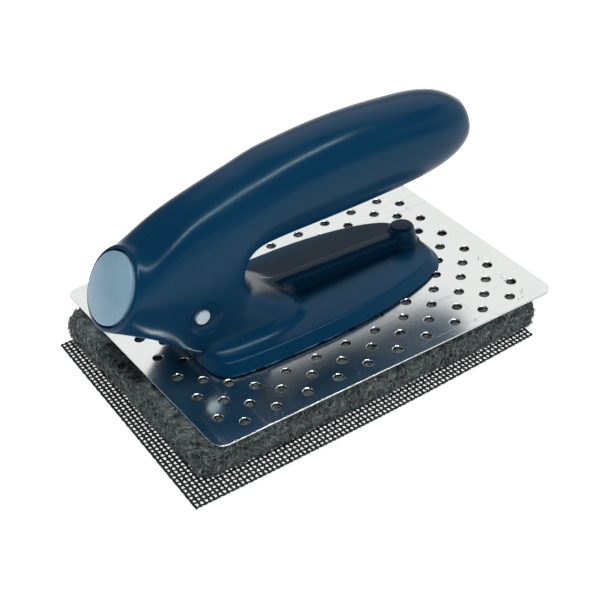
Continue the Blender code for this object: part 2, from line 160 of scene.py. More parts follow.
class Graph:
    """Short calls for the few shader nodes that the materials use."""

    def __init__(self, name):
        self.material, self.shader = new_material(name)
        self.nodes, self.links = self.material.node_tree.nodes, self.material.node_tree.links
        self.place = self.nodes.new("ShaderNodeTexCoord").outputs["Object"]

    def node(self, kind, **values):
        made = self.nodes.new(kind)
        for key, value in values.items():
            setattr(made, key, value)
        return made

    def plug(self, source, target):
        self.links.new(source, target)

    def stretch(self, scale, turn=0.0):
        mapping = self.node("ShaderNodeMapping")
        mapping.inputs["Scale"].default_value = scale
        mapping.inputs["Rotation"].default_value = (0.0, 0.0, turn)
        self.plug(self.place, mapping.inputs["Vector"])
        return mapping.outputs["Vector"]

    def noise(self, scale, detail=3.0, rough=0.5, place=None):
        made = self.node("ShaderNodeTexNoise")
        made.inputs["Scale"].default_value = scale
        made.inputs["Detail"].default_value = detail
        made.inputs["Roughness"].default_value = rough
        self.plug(place or self.place, made.inputs["Vector"])
        return made.outputs["Fac"]

    def cells(self, scale):
        made = self.node("ShaderNodeTexVoronoi")
        made.inputs["Scale"].default_value = scale
        self.plug(self.place, made.inputs["Vector"])
        return made.outputs["Distance"]

    def ramp(self, source, low, high, start, end):
        """Map source from low..high to start..end; start and end are numbers or colours."""
        made = self.node("ShaderNodeValToRGB")
        first, last = made.color_ramp.elements
        first.position, last.position = low, high
        for element, value in ((first, start), (last, end)):
            colour = value if isinstance(value, tuple) else (value, value, value)
            element.color = (*colour, 1.0)
        self.plug(source, made.inputs["Fac"])
        return made.outputs["Color"]

    def span(self, source, low, high, start, end):
        """Map source from low..high to start..end exactly, however narrow low..high is."""
        made = self.node("ShaderNodeMapRange")
        for key, value in (("From Min", low), ("From Max", high), ("To Min", start), ("To Max", end)):
            made.inputs[key].default_value = value
        self.plug(source, made.inputs["Value"])
        return made.outputs["Result"]

    def math(self, operation, a, b):
        made = self.node("ShaderNodeMath", operation=operation)
        for slot, value in zip(made.inputs, (a, b)):
            if isinstance(value, (int, float)):
                slot.default_value = value
            else:
                self.plug(value, slot)
        return made.outputs["Value"]

    def place_axis(self, axis):
        split = self.node("ShaderNodeSeparateXYZ")
        self.plug(self.place, split.inputs["Vector"])
        return split.outputs[axis]

    def mix(self, factor, a, b):
        made = self.node("ShaderNodeMix", data_type="RGBA")
        sockets = [s for s in made.inputs if s.enabled]
        for slot, value in zip(sockets, (factor, a, b)):
            if isinstance(value, (int, float)):
                slot.default_value = value
            elif isinstance(value, tuple):
                slot.default_value = (*value, 1.0)
            else:
                self.plug(value, slot)
        return next(s for s in made.outputs if s.enabled)

    def bump(self, height, strength, distance, under=None):
        made = self.node("ShaderNodeBump")
        made.inputs["Strength"].default_value = strength
        made.inputs["Distance"].default_value = distance
        self.plug(height, made.inputs["Height"])
        if under is not None:
            self.plug(under, made.inputs["Normal"])
        return made.outputs["Normal"]

    def finish(self, colour=None, roughness=None, normal=None, **fixed):
        for key, value in (("Base Color", colour), ("Roughness", roughness), ("Normal", normal)):
            if isinstance(value, (int, float)):
                self.shader.inputs[key].default_value = value
            elif isinstance(value, tuple):
                self.shader.inputs[key].default_value = (*value, 1.0)
            elif value is not None:
                self.plug(value, self.shader.inputs[key])
        for key, value in fixed.items():
            self.shader.inputs[key.replace("_", " ")].default_value = value
        return self.material


def blue_plastic():
    """Glossy dark blue moulding: faint flow marks, scuffs and a soft parting ridge on the crown."""
    g = Graph("blue_plastic")
    tone = g.noise(28.0, 3.0)
    colour = g.ramp(tone, 0.35, 0.7, (0.0011, 0.030, 0.074), (0.0026, 0.036, 0.085))
    scuffs = g.noise(900.0, 2.0, place=g.stretch((1.0, 0.05, 1.0), 0.5))
    rough = g.math("ADD", g.ramp(g.noise(60.0, 4.0), 0.3, 0.7, 0.20, 0.27),
                   g.ramp(scuffs, 0.66, 0.74, 0.0, 0.06))
    off_line = g.math("ABSOLUTE", g.math("SUBTRACT", g.place_axis("Y"), TOOL_ORIGIN.y), 0.0)
    ridge = g.ramp(off_line, 0.0, 0.0004, 0.0, 1.0)
    high = g.ramp(g.place_axis("Z"), 0.052, 0.056, 0.0, 1.0)
    seam = g.math("MAXIMUM", ridge, g.math("SUBTRACT", 1.0, high))
    grain = g.bump(g.noise(1500.0, 2.0), 0.05, 0.0002)
    waves = g.bump(g.noise(45.0, 1.0), 0.06, 0.002, grain)
    normal = g.bump(seam, 0.25, 0.0001, waves)
    return g.finish(colour, rough, normal, Specular_IOR_Level=0.13,
                    Specular_Tint=(0.7, 1.0, 1.0, 1.0), IOR=1.5)


def pale_plastic(name, low, high, rough):
    """Satin pale moulding with a slight mottle."""
    g = Graph(name)
    colour = g.ramp(g.noise(70.0, 4.0), 0.3, 0.72, low, high)
    gloss = g.ramp(g.noise(160.0, 3.0), 0.3, 0.7, rough - 0.05, rough + 0.06)
    normal = g.bump(g.noise(2200.0, 2.0), 0.06, 0.0002)
    return g.finish(colour, gloss, normal, Specular_IOR_Level=0.4)


def bright_steel():
    """Rolled sheet: near-mirror with scratches, specks and haze, and painted shade down in the cups.
    """
    g = Graph("bright_steel")
    haze = g.noise(22.0, 5.0, 0.6)
    along = g.noise(260.0, 2.0, place=g.stretch((0.06, 2.4, 1.0), 0.12))
    across = g.noise(200.0, 2.0, place=g.stretch((2.2, 0.05, 1.0), 0.85))
    lines = g.math("MAXIMUM", g.ramp(along, 0.62, 0.72, 0.0, 1.0),
                   g.ramp(across, 0.66, 0.74, 0.0, 1.0))
    specks = g.ramp(g.cells(420.0), 0.0, 0.12, 1.0, 0.0)
    colour = g.mix(g.math("MULTIPLY", lines, 0.35), (0.80, 0.82, 0.80), (0.66, 0.69, 0.68))
    colour = g.mix(g.math("MULTIPLY", specks, g.ramp(haze, 0.42, 0.62, 0.0, 0.85)), colour,
                   (0.40, 0.42, 0.42))
    # Painted shade: the colour darkens with depth below the plate's top, standing in for the shade
    # inside the cups.
    sunk = g.span(g.place_axis("Z"), PLATE_HIGH.z - 0.0004, PLATE_HIGH.z - 0.00015, 1.0, 0.0)
    colour = g.mix(sunk, colour, (0.05, 0.065, 0.065))
    rough = g.math("ADD", g.ramp(haze, 0.3, 0.75, 0.12, 0.24), g.math("MULTIPLY", lines, 0.06))
    normal = g.bump(lines, 0.06, 0.0001, g.bump(g.noise(14.0, 1.0), 0.05, 0.002))
    return g.finish(colour, rough, normal, Metallic=1.0)


def zinc_steel():
    """Dull plated steel with a fine grain."""
    g = Graph("zinc_steel")
    colour = g.ramp(g.noise(300.0, 4.0), 0.3, 0.7, (0.48, 0.49, 0.48), (0.66, 0.67, 0.66))
    rough = g.ramp(g.noise(700.0, 3.0), 0.3, 0.7, 0.28, 0.42)
    return g.finish(colour, rough, g.bump(g.noise(1800.0, 2.0), 0.08, 0.0001), Metallic=1.0)


def pad_core():
    """Dark body of the nonwoven pad, seen between its fibres."""
    g = Graph("pad_core")
    patches = g.noise(240.0, 5.0, 0.65)
    colour = g.ramp(patches, 0.38, 0.66, (0.008, 0.012, 0.012), (0.15, 0.19, 0.185))
    pits = g.cells(700.0)
    normal = g.bump(pits, 0.9, 0.0006, g.bump(g.noise(1500.0, 4.0), 0.8, 0.0006))
    return g.finish(colour, 0.9, normal, Specular_IOR_Level=0.15)


def pad_fibre(name, low, high):
    """Crimped fibres with grit stuck along them."""
    g = Graph(name)
    colour = g.ramp(g.noise(900.0, 3.0), 0.35, 0.68, low, high)
    normal = g.bump(g.cells(3200.0), 0.8, 0.0003)
    return g.finish(colour, 0.7, normal, Specular_IOR_Level=0.3)


def screen_grit():
    """Dark resin-coated yarn with fine abrasive grit."""
    g = Graph("screen_grit")
    colour = g.ramp(g.noise(1300.0, 4.0), 0.35, 0.7, (0.006, 0.009, 0.009), (0.030, 0.040, 0.040))
    normal = g.bump(g.cells(3600.0), 0.9, 0.0003)
    return g.finish(colour, 0.65, normal, Specular_IOR_Level=0.3)


# ---------------------------------------------------------------- mesh helpers

def hidden(name, shape):
    """A working object in tool millimetres, which is removed once it has been read."""
    mesh = bpy.data.meshes.new(name)
    if isinstance(shape, bmesh.types.BMesh):
        bmesh.ops.recalc_face_normals(shape, faces=shape.faces)
        shape.to_mesh(mesh)
        shape.free()
    else:
        mesh = shape
    made = bpy.data.objects.new(name, mesh)
    bpy.context.scene.collection.objects.link(made)
    return made


def evaluated(made):
    """The object's mesh with its modifiers applied."""
    bpy.context.view_layer.update()
    graph = bpy.context.evaluated_depsgraph_get()
    return bpy.data.meshes.new_from_object(made.evaluated_get(graph), depsgraph=graph)


def combine(target, other, operation):
    change = target.modifiers.new(other.name, "BOOLEAN")
    change.operation = operation
    change.object = other
    change.solver = "EXACT"


def remove(*made):
    for one in made:
        bpy.data.objects.remove(one, do_unlink=True)


def points_of(mesh):
    points = np.empty(len(mesh.vertices) * 3)
    mesh.vertices.foreach_get("co", points)
    return points.reshape(-1, 3)


def mesh_from(name, points, faces):
    """A mesh from arrays of points and of equal-sided faces."""
    mesh = bpy.data.meshes.new(name)
    mesh.vertices.add(len(points))
    mesh.vertices.foreach_set("co", np.asarray(points, np.float32).ravel())
    mesh.loops.add(faces.size)
    mesh.loops.foreach_set("vertex_index", np.asarray(faces, np.int32).ravel())
    mesh.polygons.add(len(faces))
    mesh.polygons.foreach_set("loop_start", np.arange(0, faces.size, faces.shape[1], dtype=np.int32))
    mesh.update(calc_edges=True)
    return mesh


def piece(name, mesh, body, look, nodes=(), sharp=None):
    """Put a mesh drawn in tool millimetres in its place as a finished piece."""
    if isinstance(mesh, bmesh.types.BMesh):
        shape = mesh
        bmesh.ops.recalc_face_normals(shape, faces=shape.faces)
        mesh = bpy.data.meshes.new(name)
        shape.to_mesh(mesh)
        shape.free()
    mesh.name = name
    mesh.transform(TO_WORLD)
    mesh.shade_smooth()
    if sharp is not None:
        mesh.set_sharp_from_angle(angle=math.radians(sharp))
    mesh.materials.clear()
    mesh.materials.append(look)
    made = bpy.data.objects.new(name, mesh)
    bpy.context.scene.collection.objects.link(made)
    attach(made, body)
    if nodes:
        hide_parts(*nodes)
    return made


def skin(shape, a, b):
    """Faces between two closed rings of equally many points."""
    for k in range(len(a)):
        n = (k + 1) % len(a)
        shape.faces.new((a[k], a[n], b[n], b[k]))


def loft(rings):
    """Skin a list of closed rings, and close both ends."""
    shape = bmesh.new()
    made = [[shape.verts.new(point) for point in ring] for ring in rings]
    for a, b in zip(made, made[1:]):
        skin(shape, a, b)
    shape.faces.new(list(reversed(made[0])))
    shape.faces.new(made[-1])
    return shape


def turned(profile, sides, transform=None):
    """A solid of revolution about Z from (radius, height) points; a radius of 0 closes an end."""
    shape = bmesh.new()
    rings = []
    for radius, height in profile:
        if radius == 0.0:
            rings.append([shape.verts.new((0.0, 0.0, height))])
            continue
        angles = [math.tau * k / sides for k in range(sides)]
        rings.append([
            shape.verts.new((radius * math.cos(a), radius * math.sin(a), height)) for a in angles
        ])
    for a, b in zip(rings, rings[1:]):
        for k in range(sides):
            n = (k + 1) % sides
            if len(a) == 1:
                shape.faces.new((a[0], b[k], b[n]))
            elif len(b) == 1:
                shape.faces.new((a[k], a[n], b[0]))
            else:
                shape.faces.new((a[k], a[n], b[n], b[k]))
    if transform is not None:
        bmesh.ops.transform(shape, matrix=transform, verts=shape.verts)
    return shape


def arc(centre, radius, start, end, steps):
    """Points of an arc in a plane, with its angles in degrees."""
    angles = [math.radians(start + (end - start) * k / steps) for k in range(steps + 1)]
    return [(centre[0] + radius * math.cos(a), centre[1] + radius * math.sin(a)) for a in angles]


# ---------------------------------------------------------------- grip moulding

SOCKET_MOUTH = (-72.0, 33.8)          # X and Z of the mouth's centre
SOCKET_TILT = math.radians(32.0)
SOCKET_RADIUS, SOCKET_DEPTH = 12.4, 36.0
MOUTH_RADIUS = 14.1
PIN_CENTRE = (-47.7, 18.6)            # X and Z
PIN_RADIUS, PIN_HALF_LENGTH = 2.6, 12.9
RECESS_RADIUS, RECESS_FLOOR = 6.2, 12.7
GAP = 0.3

# Stations: crown point (X, Z), underside point (X, Z), half width, and squareness or foot
NOSE = [
    ((-59.5, 45.9), (-74.4, 19.2), 14.1, 2.25),
    ((-53.0, 49.1), (-68.0, 15.2), 14.2, 2.7),
    ((-45.5, 52.3), (-60.5, 10.4), 14.3, 2.9),
]
NECK = [
    ((-37.5, 54.6), (-53.5, 3.6), 14.4, (-2.5, -3.0)),
    ((-28.5, 56.8), (-43.0, 2.0), 14.4, (1.2, 3.0)),
]
GRIP = [
    ((-11.5, 60.5), (-18.5, 31.8), 14.3, 2.6),
    ((-2.0, 61.3), (-3.0, 31.5), 14.3, 2.6),
    ((11.0, 62.4), (11.0, 31.2), 14.3, 2.6),
    ((26.0, 62.2), (26.0, 31.4), 14.3, 2.6),
    ((40.5, 60.8), (41.0, 31.8), 14.1, 2.6),
    ((51.5, 59.6), (52.8, 33.2), 13.5, 2.5),
    ((60.0, 57.3), (61.3, 36.2), 11.8, 2.3),
    ((66.2, 52.6), (66.6, 41.0), 8.2, 2.1),
]
SLOT_TOP, SLOT_FLOOR = (-29.5, 33.8), (-29.6, 20.4)            # front wall of the finger gap
TONGUE = [(-19.5, 13.4, 12.8, 17.0), (-8.0, 7.0, 10.0, 13.0)]   # X, floor Z, half widths
# Half plan of the base's foot, from its front centre round to its rear centre
BASE_PLAN = [
    (-50.8, 0.0), (-50.8, 9.0), (-50.5, 15.5), (-49.7, 19.8), (-47.9, 22.9), (-44.8, 24.9),
    (-40.0, 26.0), (-33.0, 26.7), (-24.0, 27.1), (-13.0, 27.25), (-3.0, 27.1), (8.0, 26.5),
    (18.0, 25.2), (27.0, 23.4), (35.0, 21.0), (41.0, 18.3), (44.8, 15.6), (47.2, 12.2),
    (48.3, 7.8), (48.6, 3.4), (48.6, 0.0),
]
BASE_TOP, FLANK_START, FLANK_INSET = 4.3, 1.0, 2.6
RIB_START, RIB_END, RIB_HALF_WIDTH = -18.0, 37.0, 2.7
RIB_TOP_FRONT, RIB_TOP_REAR, RIB_CHAMFER = 11.4, 8.7, 1.25
BOSS_X, BOSS_RADIUS, BOSS_TOP = 40.4, 5.4, 11.2
SHOULDER_RADIUS = 0.8
ROOT_Z = 2.0                          # the rib and the boss start here, inside the foot

# Voxel size, smoothing rounds, and reach of the fillets at the nose and at the finger gap
VOXEL = 0.55
BLEND_ROUNDS = 160
BLEND_X, BLEND_REACH = (-34.0, -16.0), (4.5, 2.6)


def half_section(crown, under, half_width, squareness, count):
    """Points down one side from the crown to the underside; X leans with the section's plane."""
    middle = [(crown[k] + under[k]) / 2 for k in (0, 1)]
    up = [(crown[k] - under[k]) / 2 for k in (0, 1)]
    shrink = (4.0 + 2.0 * math.cos(math.pi / count)) / 6.0
    points = []
    for k in range(count + 1):
        angle = math.pi * k / count
        side = abs(math.sin(angle)) ** (2 / squareness) / shrink
        height = math.copysign(abs(math.cos(angle)) ** (2 / squareness), math.cos(angle)) / shrink
        points.append((middle[0] + up[0] * height, half_width * side, middle[1] + up[1] * height))
    return points


def neck_section(crown, under, half_width, foot):
    """A tall section: a round crown, flat sides, and a foot that flares onto the base."""
    x0, z0 = crown
    x1, z1 = under

    def at(z, y):
        return (x1 + (x0 - x1) * (z - z1) / (z0 - z1), y, z)

    w = half_width
    return [at(z0 + 0.6, 0.0), at(z0 - 1.0, 0.62 * w), at(z0 - 8.0, 0.99 * w),
            at(z0 - 18.0, 1.01 * w), at(28.0, 1.01 * w), at(14.0, w),
            at(6.2, w + foot[0]), at(z1 + 0.8, w + foot[1]), at(z1 - 0.4, 0.0)]


def whole_ring(half):
    """Close a half section into a ring: crown, -Y side, underside, +Y side."""
    near = [(x, -y, z) for x, y, z in half]
    far = [(x, y, z) for x, y, z in reversed(half[1:-1])]
    return near + far


def grip_cage():
    """Control cage of the nose, neck and grip, which subdivision rounds off."""
    shape = bmesh.new()

    def add_ring(points):
        return [shape.verts.new(point) for point in points]

    lean = Vector((math.sin(SOCKET_TILT), 0.0, math.cos(SOCKET_TILT)))
    centre = Vector((SOCKET_MOUTH[0], 0.0, SOCKET_MOUTH[1]))
    inward = Vector((math.cos(SOCKET_TILT), 0.0, -math.sin(SOCKET_TILT)))

    def mouth_ring(radius, depth):
        middle = centre + inward * depth
        top, bottom = middle + lean * radius, middle - lean * radius
        return whole_ring(half_section((top.x, top.z), (bottom.x, bottom.z), radius, 2.0, 8))

    rings = [add_ring(mouth_ring(MOUTH_RADIUS - 2.2, 0.0)),
             add_ring(mouth_ring(MOUTH_RADIUS - 0.2, 0.0)),
             add_ring(mouth_ring(MOUTH_RADIUS, 1.6))]
    rings += [add_ring(whole_ring(half_section(*station, 8))) for station in NOSE]
    rings += [add_ring(whole_ring(neck_section(*station))) for station in NECK]

    # The neck's last section follows the round front wall of the finger gap
    w = NECK[-1][2]
    (top_x, top_z), (floor_x, floor_z) = SLOT_TOP, SLOT_FLOOR
    slot = [(-20.0, 0.0, 59.1), (-20.5, 0.62 * w, 57.5), (-22.5, 0.99 * w, 50.5),
            (-25.5, 1.01 * w, 41.0), (top_x, 0.98 * w, top_z),
            (floor_x, 0.98 * w, floor_z), (-28.0, w + 1.8, 5.8), (-28.0, w + 4.0, 2.8),
            (-28.0, 0.0, 1.6)]
    last = add_ring(whole_ring(slot))
    rings.append(last)
    for a, b in zip(rings, rings[1:]):
        skin(shape, a, b)

    # Front wall of the gap, two faces high and two wide
    wall_top = shape.verts.new((top_x, 0.0, top_z))
    wall_floor = shape.verts.new((floor_x, 0.0, floor_z))
    shape.faces.new((last[4], wall_top, wall_floor, last[5]))
    shape.faces.new((wall_top, last[12], last[11], wall_floor))

    # Tongue that carries the gap's floor down onto the base, in two steps
    lower = [*last[5:12], wall_floor]
    for x, floor, side, foot in TONGUE:
        near = [(x, -side, floor), (x - 1.0, -foot, 3.6), (x - 1.0, -foot, 2.2)]
        far = [(px, -py, pz) for px, py, pz in reversed(near)]
        ring = add_ring([*near, (x - 1.0, 0.0, 1.6), *far, (x, 0.0, floor)])
        skin(shape, lower, ring)
        lower = ring
    shape.faces.new((lower[0], lower[1], lower[2], lower[3], lower[7]))
    shape.faces.new((lower[7], lower[3], lower[4], lower[5], lower[6]))

    # Grip arm: ten points round, the first ring shared with the neck
    arm = [*last[:5], wall_top, *last[12:]]
    for station in GRIP:
        ring = add_ring(whole_ring(half_section(*station, 5)))
        skin(shape, arm, ring)
        arm = ring
    shape.faces.new((arm[0], arm[1], arm[9]))
    shape.faces.new((arm[1], arm[2], arm[8], arm[9]))
    shape.faces.new((arm[2], arm[3], arm[7], arm[8]))
    shape.faces.new((arm[3], arm[4], arm[6], arm[7]))
    shape.faces.new((arm[4], arm[5], arm[6]))
    shape.faces.new(list(reversed(rings[0])))
    return shape


def base_outline(inset):
    """Smooth half plan of the base from its front centre to its rear centre, drawn in by inset."""
    plan = [Vector(point) for point in BASE_PLAN]
    before_first, after_last = (Vector((plan[k].x, -plan[j].y)) for k, j in ((1, 1), (-2, -2)))
    knots = [before_first, *plan, after_last]
    half = []
    for a, b, c, d in zip(knots, knots[1:], knots[2:], knots[3:]):
        for t in (0.0, 0.25, 0.5, 0.75):
            half.append(0.5 * (2 * b + (c - a) * t + (2 * a - 5 * b + 4 * c - d) * t ** 2
                               + (3 * b - a - 3 * c + d) * t ** 3))
    half.append(plan[-1])
    drawn = []
    for k, point in enumerate(half):
        before = half[k - 1] if k else Vector((point.x, -half[1].y))
        after = half[k + 1] if k + 1 < len(half) else Vector((point.x, -half[-2].y))
        along = (after - before).normalized()
        drawn.append((point.x + inset * along.y, point.y - inset * along.x))
    return drawn


def base_shape():
    """Flat foot with sloping flanks and a rounded shoulder."""
    round_off = SHOULDER_RADIUS
    levels = [(GAP, 0.3), (GAP + 0.25, 0.0), (FLANK_START, 0.0)]
    slope = math.degrees(math.atan2(BASE_TOP - FLANK_START, FLANK_INSET))
    centre = (FLANK_INSET + round_off, BASE_TOP - round_off)
    shoulder = arc(centre, round_off, 90.0 + slope, 90.0, 6)
    levels += [(z, inset) for inset, z in shoulder]
    rings = []
    for z, inset in levels:
        half = base_outline(inset)
        ring = half + [(x, -y) for x, y in reversed(half[1:-1])]
        rings.append([(x, y, z) for x, y in ring])
    return loft(rings)


def rib_shape():
    """Rib with chamfered top edges and filleted feet, whose top slopes down towards the boss."""
    w, chamfer, foot = RIB_HALF_WIDTH, RIB_CHAMFER, 0.7
    sections = []
    for x, top in ((RIB_START, RIB_TOP_FRONT), (RIB_END, RIB_TOP_REAR)):
        half = [(w + foot + 0.4, ROOT_Z), (w + foot + 0.4, BASE_TOP)]
        half += arc((w + foot, BASE_TOP + foot), foot, 270.0, 180.0, 4)
        half += [(w, top - chamfer - 0.15), (w - 0.1, top - chamfer + 0.1),
                 (w - chamfer + 0.1, top - 0.1), (w - chamfer - 0.15, top)]
        section = half + [(-y, z) for y, z in reversed(half)]
        sections.append([(x, y, z) for y, z in section])
    return loft(sections)


def boss_shape():
    """Round boss with drafted sides, a soft top edge and a filleted foot."""
    r, top, foot, edge, draft = BOSS_RADIUS, BOSS_TOP, 0.8, 1.5, 0.8
    profile = [(0.0, ROOT_Z), (r + foot + 0.3, ROOT_Z), (r + foot + 0.3, BASE_TOP)]
    profile += arc((r + foot, BASE_TOP + foot), foot, 270.0, 180.0, 5)
    profile += arc((r - draft - edge, top - edge), edge, 5.0, 82.0, 8)
    profile += [(r * 0.3, top + 0.1), (0.0, top + 0.12)]
    return turned(profile, 48, Matrix.Translation((BOSS_X, 0.0, 0.0)))


def socket_frame():
    """Local +Z runs along the socket's axis, out of its mouth."""
    place = Matrix.Translation((SOCKET_MOUTH[0], 0.0, SOCKET_MOUTH[1]))
    return place @ Matrix.Rotation(-(math.pi / 2 - SOCKET_TILT), 4, "Y")


def cross_frame():
    """Local +Z runs along the cross pin, towards +Y."""
    return (Matrix.Translation((PIN_CENTRE[0], 0.0, PIN_CENTRE[1]))
            @ Matrix.Rotation(-math.pi / 2, 4, "X"))


def tree_of(mesh):
    corners = [polygon.vertices[:] for polygon in mesh.polygons]
    return BVHTree.FromPolygons([v.co for v in mesh.vertices], corners)


def blend_joints(mesh, whole, parts):
    """Fill the inside corners where the parts meet, and keep the rest on the exact surface."""
    points = points_of(mesh)
    distances = [[tree.find_nearest(Vector(p))[3] for p in points] for tree in parts]
    both = np.max(np.array(distances), axis=0)
    reach = np.interp(points[:, 0], BLEND_X, BLEND_REACH)
    weight = np.clip((reach - both) / (0.6 * reach), 0.0, 1.0)
    weight = (weight * weight * (3.0 - 2.0 * weight))[:, None]
    nearest = [whole.find_nearest(Vector(p)) for p in points]
    exact = np.array([found[0] for found in nearest])
    outward = np.array([found[1] for found in nearest])

    edges = np.empty(len(mesh.edges) * 2, np.int64)
    mesh.edges.foreach_get("vertices", edges)
    a, b = edges.reshape(-1, 2).T
    count = (np.bincount(a, minlength=len(points)) + np.bincount(b, minlength=len(points)))[:, None]
    moved = exact.copy()
    for _ in range(BLEND_ROUNDS):
        total = np.zeros_like(moved)
        for axis in range(3):
            total[:, axis] = (np.bincount(a, moved[b, axis], len(points))
                              + np.bincount(b, moved[a, axis], len(points)))
        moved += 0.6 * weight * (total / count - moved)
        sunk = ((moved - exact) * outward).sum(axis=1) < 0.0
        moved[sunk] = exact[sunk]
    mesh.vertices.foreach_set("co", moved.astype(np.float32).ravel())
    mesh.update()


def make_grip(look):
    """Nose, neck, grip and base in one moulding, with soft fillets where they meet."""
    cage = hidden("cage", grip_cage())
    rounding = cage.modifiers.new("rounding", "SUBSURF")
    rounding.levels = 4
    smooth = evaluated(cage)
    body = hidden("body", smooth.copy())
    foot, rib, boss = (hidden("foot", base_shape()), hidden("rib", rib_shape()),
                       hidden("boss", boss_shape()))
    combine(foot, rib, "UNION")
    combine(foot, boss, "UNION")
    base = evaluated(foot)
    stand = hidden("stand", base.copy())
    combine(body, stand, "UNION")
    union = evaluated(body)

    solid = hidden("solid", union.copy())
    cells = solid.modifiers.new("cells", "REMESH")
    cells.mode = "VOXEL"
    cells.voxel_size = VOXEL
    dense = evaluated(solid)
    blend_joints(dense, tree_of(union), [tree_of(smooth), tree_of(base)])

    shell = hidden("shell", dense)
    bore = hidden("bore", turned([(0.0, -SOCKET_DEPTH), (SOCKET_RADIUS, -SOCKET_DEPTH),
                                  (SOCKET_RADIUS, -0.6), (SOCKET_RADIUS + 0.5, 0.1),
                                  (SOCKET_RADIUS + 0.5, 4.0), (0.0, 4.0)], 96, socket_frame()))
    hole, floor = PIN_RADIUS + GAP, RECESS_FLOOR
    dish = [(hole, floor - 0.4), (hole + 0.4, floor), (hole + 1.7, floor + 0.15),
            (RECESS_RADIUS - 0.6, floor + 0.6), (RECESS_RADIUS, floor + 1.2),
            (RECESS_RADIUS + 0.5, floor + 2.0), (RECESS_RADIUS + 3.0, 20.0), (0.0, 20.0)]
    recess = hidden("recess", turned([(x, -y) for x, y in reversed(dish)] + dish, 72,
                                     cross_frame()))
    combine(shell, bore, "DIFFERENCE")
    combine(shell, recess, "DIFFERENCE")
    made = evaluated(shell)
    remove(cage, body, foot, rib, boss, stand, solid, shell, bore, recess)
    return piece("grip_shell", made, "holder", look, ["grip_moulding"], 38.0)


# ---------------------------------------------------------------- plug, pin and screws

CAP_RADIUS, CAP_PROUD, CAP_CROWN, CAP_EDGE = 11.9, 0.9, 1.3, 0.55
PLUG_RADIUS, PLUG_BORE, PLUG_LENGTH = 11.9, 9.0, 33.0
SCREW_RADIUS, SCREW_HEAD_RADIUS, SCREW_HEAD_THICK = 1.75, 3.2, 1.2
THREAD_PITCH, THREAD_DEPTH = 0.5, 0.3
# Each screw's node, its X and Y, and how far it reaches above the plate
SCREWS = [("rear_screw", (BOSS_X, 0.0), 9.0), ("front_screw_left", (-38.0, 20.5), 3.2),
          ("front_screw_right", (-38.0, -20.5), 3.2)]


def make_plug(look):
    """Domed cap with a hollow shank, drilled across for the pin."""
    r, rim, edge = CAP_RADIUS, CAP_PROUD, CAP_EDGE
    dome = [(r - edge) * k / 10 for k in range(1, 10)]
    profile = [(0.0, rim + CAP_CROWN)]
    profile += [(d, rim + CAP_CROWN * (1.0 - (d / (r - edge)) ** 2)) for d in dome]
    profile += arc((r - edge, rim - edge), edge, 84.0, 0.0, 6)
    profile += [(r, -2.2), (PLUG_RADIUS, -2.4), (PLUG_RADIUS, -PLUG_LENGTH),
                (PLUG_BORE, -PLUG_LENGTH), (PLUG_BORE, -2.4), (0.0, -2.4)]
    plug = hidden("plug", turned(profile, 96, socket_frame()))
    hole = PIN_RADIUS + GAP
    across = hidden("across", turned([(0.0, -20.0), (hole, -20.0), (hole, 20.0), (0.0, 20.0)],
                                     48, cross_frame()))
    combine(plug, across, "DIFFERENCE")
    made = evaluated(plug)
    remove(plug, across)
    return piece("plug_cap", made, "holder", look, ["socket_plug"], 30.0)


def make_pin(look):
    """Cross pin with slightly domed, softened ends."""
    r, end, edge = PIN_RADIUS, PIN_HALF_LENGTH, 0.5
    half = [(0.0, end + 0.5), (r * 0.5, end + 0.45), (r - edge, end + 0.25)]
    half += arc((r - edge, end - 0.2), edge, 70.0, 0.0, 5)
    profile = half + [(x, -z) for x, z in reversed(half)]
    return piece("latch_pin", turned(profile, 48, cross_frame()), "holder", look,
                 ["cross_pin"], 40.0)


def make_screws(look):
    """Pan-head screws, driven up through the plate, with a cross recess in each head."""
    under, head, wide, soft = -PLATE_THICK - 0.05, SCREW_HEAD_THICK, SCREW_HEAD_RADIUS, 0.9
    slim, arm = 0.35, 1.7
    outline = [(slim, -arm), (slim, -slim), (arm, -slim), (arm, slim), (slim, slim), (slim, arm),
               (-slim, arm), (-slim, slim), (-arm, slim), (-arm, -slim), (-slim, -slim),
               (-slim, -arm)]
    for node, (x, y), reach in SCREWS:
        r = SCREW_RADIUS
        profile = [(0.0, under - head), (wide - soft, under - head)]
        profile += arc((wide - soft, under - head + soft), soft, 270.0, 360.0, 5)
        profile += [(wide, under), (r, under)]
        for k in range(int((reach - under - 1.2) / THREAD_PITCH)):
            z = under + 0.3 + THREAD_PITCH * k
            profile += [(r, z), (r - THREAD_DEPTH, z + THREAD_PITCH / 2)]
        profile += [(r - 0.7, reach - 0.2), (0.0, reach - 0.2)]
        screw = hidden("screw", turned(profile, 32, Matrix.Translation((x, y, 0.0))))
        slot = hidden("cross", loft([
            [(x + px * share, y + py * share, z) for px, py in outline]
            for share, z in ((1.0, under - head - 0.5), (0.6, under - head + 0.8))
        ]))
        combine(screw, slot, "DIFFERENCE")
        made = evaluated(screw)
        remove(screw, slot)
        piece(node.replace("screw", "fixing"), made, "holder", look, [node], 30.0)


# ---------------------------------------------------------------- toothed plate

PLATE_THICK, PLATE_CORNER, PLATE_EDGE = 0.7, 4.5, 0.15
TOOTH_COLUMNS, TOOTH_ROWS = 21, 15
TOOTH_PITCH = (5.9, 6.44)
TOOTH_GRID_CENTRE = (-0.6, 0.0)
DIMPLE = [(2.00, 0.0), (1.86, -0.03), (1.73, -0.12), (1.63, -0.33), (1.54, -0.65), (1.42, -1.00),
          (1.22, -1.30), (0.94, -1.48), (0.62, -1.52), (0.34, -1.40), (0.0, -1.28)]  # radius, depth
TOOTH = [(2.15, 0.0), (1.95, -0.10), (1.72, -0.45), (1.45, -0.90), (1.12, -1.28), (0.70, -1.50),
         (0.30, -1.58), (0.0, -1.60)]                                  # radius, depth


